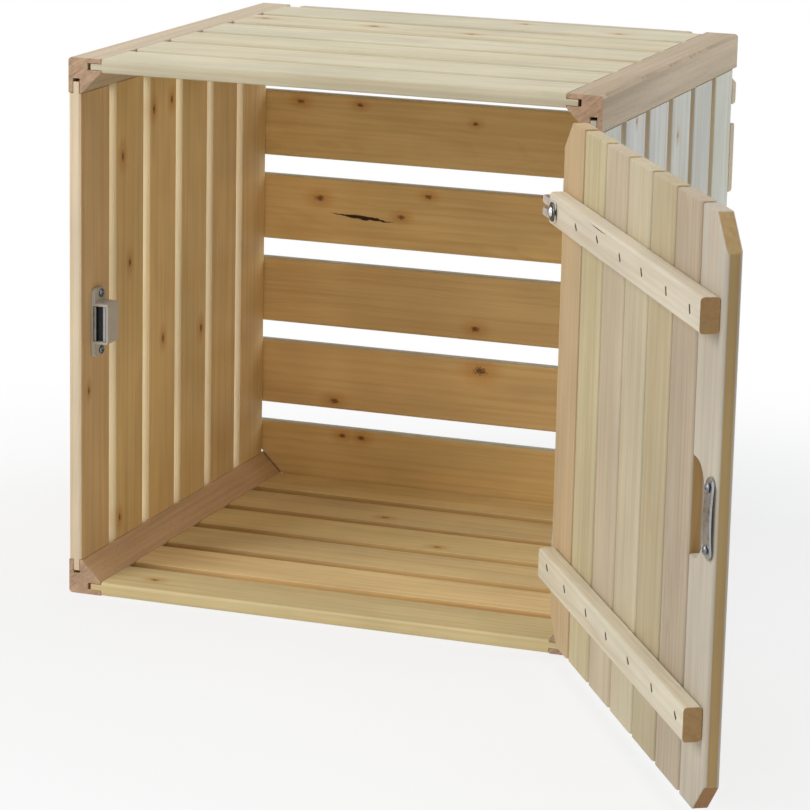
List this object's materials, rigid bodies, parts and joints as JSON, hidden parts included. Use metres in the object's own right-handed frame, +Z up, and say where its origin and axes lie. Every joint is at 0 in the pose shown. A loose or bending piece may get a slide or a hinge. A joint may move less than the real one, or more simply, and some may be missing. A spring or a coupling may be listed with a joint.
{
  "type": "kindling box",
  "caption": "Slatted wooden crate on grooved corner rails, with a boarded door hinged on the right, two battens, a finger cut-out and a magnetic catch.",
  "frame": {"origin": "on the underside, midway between the walls, at the middle of the fourth floor slat from the front", "axes": "+Z up, +X to the right seen from the front, +Y from the open front to the back"},
  "size_m": [0.5264, 0.6258, 0.362],
  "materials": {
    "slat_wood": "planed spruce, bare",
    "door_wood": "planed spruce, bare",
    "rail_wood": "planed hardwood, bare",
    "batten_wood": "planed spruce, bare",
    "zinc_steel": "bright zinc plated",
    "dark_steel": "dark blued",
    "polished_steel": "polished",
    "catch_plastic": "moulded, fine grain",
    "ferrite": "sintered, dark grey"
  },
  "bodies": {
    "box": {"rail_top_left": "rail_wood", "rail_top_right": "rail_wood", "rail_bottom_left": "rail_wood", "rail_bottom_right": "rail_wood", "top_slat_1": "slat_wood", "top_slat_2": "slat_wood", "top_slat_3": "slat_wood", "top_slat_4": "slat_wood", "top_slat_5": "slat_wood", "top_slat_6": "slat_wood", "floor_slat_1": "slat_wood", "floor_slat_2": "slat_wood", "floor_slat_3": "slat_wood", "floor_slat_4": "slat_wood", "floor_slat_5": "slat_wood", "floor_slat_6": "slat_wood", "left_slat_1": "slat_wood", "left_slat_2": "slat_wood", "left_slat_3": "slat_wood", "left_slat_4": "slat_wood", "left_slat_5": "slat_wood", "left_slat_6": "slat_wood", "right_slat_1": "slat_wood", "right_slat_2": "slat_wood", "right_slat_3": "slat_wood", "right_slat_4": "slat_wood", "right_slat_5": "slat_wood", "right_slat_6": "slat_wood", "back_slat_1": "slat_wood", "back_slat_2": "slat_wood", "back_slat_3": "slat_wood", "back_slat_4": "slat_wood", "back_slat_5": "slat_wood", "back_slat_6": "slat_wood", "catch_housing": "catch_plastic", "catch_magnet": "ferrite", "catch_pole_plate_outer": "zinc_steel", "catch_pole_plate_inner": "zinc_steel", "catch_screw_lower": "zinc_steel", "catch_screw_upper": "zinc_steel", "hinge_upper_wall_leaf": "zinc_steel", "hinge_upper_pin": "zinc_steel", "hinge_lower_wall_leaf": "zinc_steel", "hinge_lower_pin": "zinc_steel"},
    "door": {"door_board_1": "door_wood", "door_board_2": "door_wood", "door_board_3": "door_wood", "door_board_4": "door_wood", "door_board_5": "door_wood", "door_board_6": "door_wood", "door_board_7": "door_wood", "door_batten_upper": "batten_wood", "door_batten_lower": "batten_wood", "keeper_plate": "zinc_steel", "keeper_screw_lower": "zinc_steel", "keeper_screw_upper": "zinc_steel", "hinge_upper_door_leaf": "zinc_steel", "hinge_lower_door_leaf": "zinc_steel", "strap_washer": "dark_steel", "strap_screw": "polished_steel"}
  },
  "joints": [
    {"name": "door_hinge", "type": "hinge", "parent": "box", "child": "door", "pos_m": [0.16975, -0.1893, 0], "axis": [0, 0, 1], "range_deg": [-122, 58]}
  ]
}
